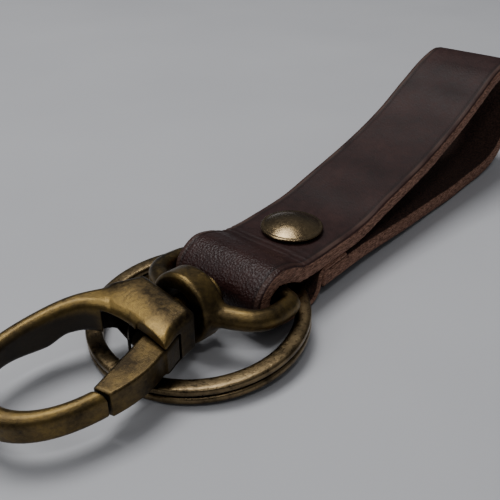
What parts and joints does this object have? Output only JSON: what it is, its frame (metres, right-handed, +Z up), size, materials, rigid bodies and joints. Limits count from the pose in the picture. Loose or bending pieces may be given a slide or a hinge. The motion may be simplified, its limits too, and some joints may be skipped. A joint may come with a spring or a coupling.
{
  "type": "keychain",
  "caption": "Leather strap keychain folded round a split ring and a swivel snap hook, held by a double cap rivet, with the strap's other end closed into a loop.",
  "frame": {"origin": "centre of the rivet base's flat underside, on the surface the keychain lies on", "axes": "+X along the strap from the rivet to its loop, +Y across the strap, +Z up from the surface"},
  "size_m": [0.1195, 0.0312, 0.0228],
  "materials": {
    "leather": "dark brown smooth grain leather, satin, raw edges",
    "rivet_brass": "antique brass, satin, dark in the recesses",
    "ring_brass": "antique brass, satin",
    "hook_brass": "antique brass casting, satin, dark in the recesses",
    "spring_steel": "plain spring steel"
  },
  "bodies": {
    "strap": {"strap": "leather", "rivet_cap": "rivet_brass", "rivet_socket": "rivet_brass", "rivet_post": "rivet_brass"},
    "ring": {"split_ring": "ring_brass"},
    "eye": {"swivel_eye": "hook_brass"},
    "hook": {"hook_body": "hook_brass", "swivel_stud": "hook_brass", "gate_pin": "hook_brass", "gate_spring": "spring_steel"},
    "gate": {"gate": "hook_brass"}
  },
  "joints": [
    {"name": "eye_swing", "type": "hinge", "parent": "strap", "child": "eye", "pos_m": [-0.01234, 0, 0.00558], "axis": [0, 1, 0], "range_deg": [0, 100]},
    {"name": "hook_swivel", "type": "hinge", "parent": "eye", "child": "hook", "pos_m": [-0.0228, 0, 0.0065], "axis": [-0.9757, 0.2163, -0.0349], "range_deg": [-3, 4]},
    {"name": "gate_open", "type": "hinge", "parent": "hook", "child": "gate", "pos_m": [-0.02972, -0.00215, 0.00603], "axis": [0.0491, 0.0606, -0.997], "range_deg": [0, 22], "stiffness_Nm_per_rad": 0.05, "springref_deg": -17.19, "deforming": ["gate_spring"]},
    {"name": "ring_turn", "type": "hinge", "parent": "strap", "child": "ring", "pos_m": [-0.0197, 0.001, 0.00234], "axis": [-0.0663, 0, 0.9978], "continuous": true}
  ]
}
